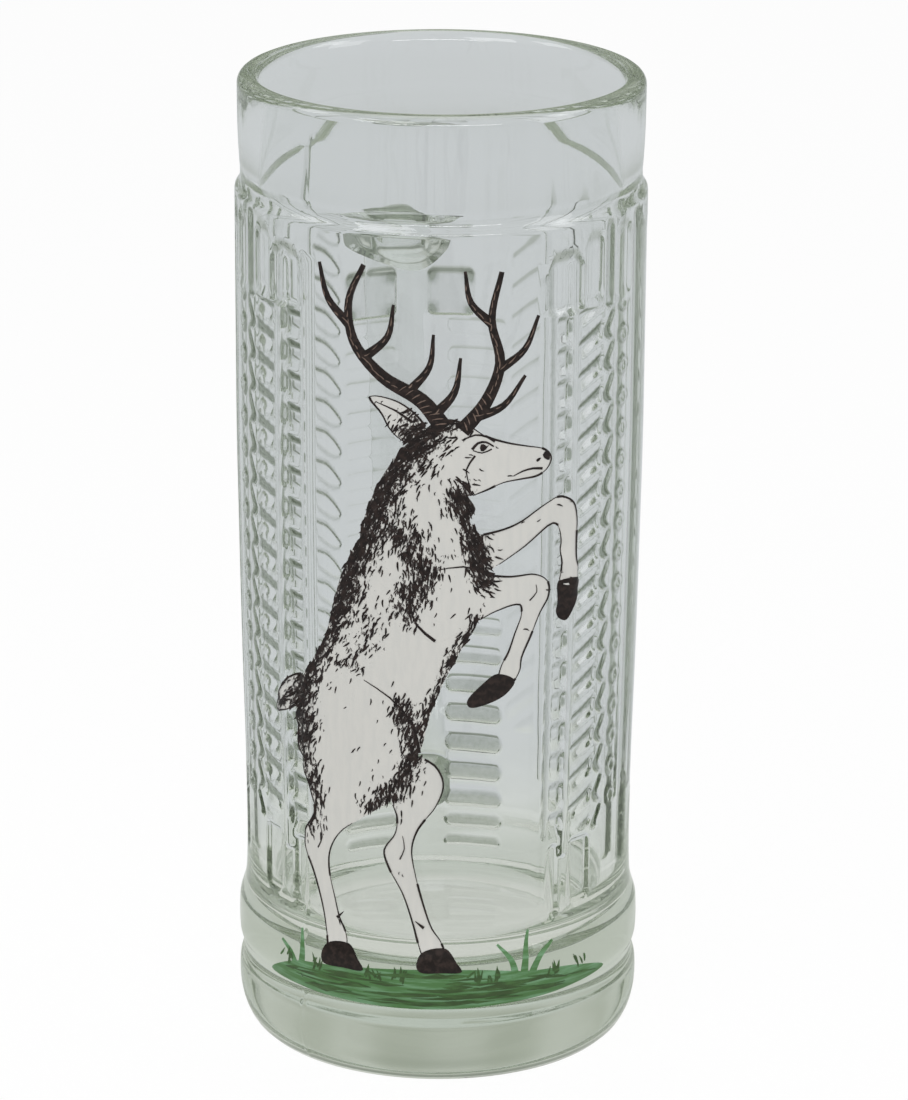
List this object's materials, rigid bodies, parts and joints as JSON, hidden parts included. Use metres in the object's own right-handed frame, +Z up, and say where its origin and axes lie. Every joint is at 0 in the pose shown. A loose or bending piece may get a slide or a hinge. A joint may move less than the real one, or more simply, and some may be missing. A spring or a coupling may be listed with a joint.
{
  "type": "glass beer stein",
  "caption": "Tall clear pressed-glass stein with a side handle, notched relief columns, an open rounded rim and a fired enamel stag on a green hill.",
  "frame": {"origin": "centre of the flat underside, on the axis of the body", "axes": "+Z up along the body's axis, +Y towards the handle, -Y towards the enamelled front"},
  "size_m": [0.0776, 0.1157, 0.1885],
  "materials": {
    "glass_clear": "clear pressed soda glass, faintly grey-green, fire-polished",
    "enamel_ivory": "opaque fired ivory enamel, satin gloss",
    "enamel_umber": "opaque fired brown-black enamel, glossy",
    "enamel_grass": "opaque fired green enamel with darker strokes"
  },
  "bodies": {
    "root": {"glass_body": "glass_clear", "handle": "glass_clear", "enamel_stag_coat": "enamel_ivory", "enamel_near_antler": "enamel_umber", "enamel_far_antler": "enamel_umber", "enamel_hind_near_hoof": "enamel_umber", "enamel_hind_far_hoof": "enamel_umber", "enamel_fore_near_hoof": "enamel_umber", "enamel_fore_far_hoof": "enamel_umber", "enamel_grass_hill": "enamel_grass"}
  },
  "joints": []
}
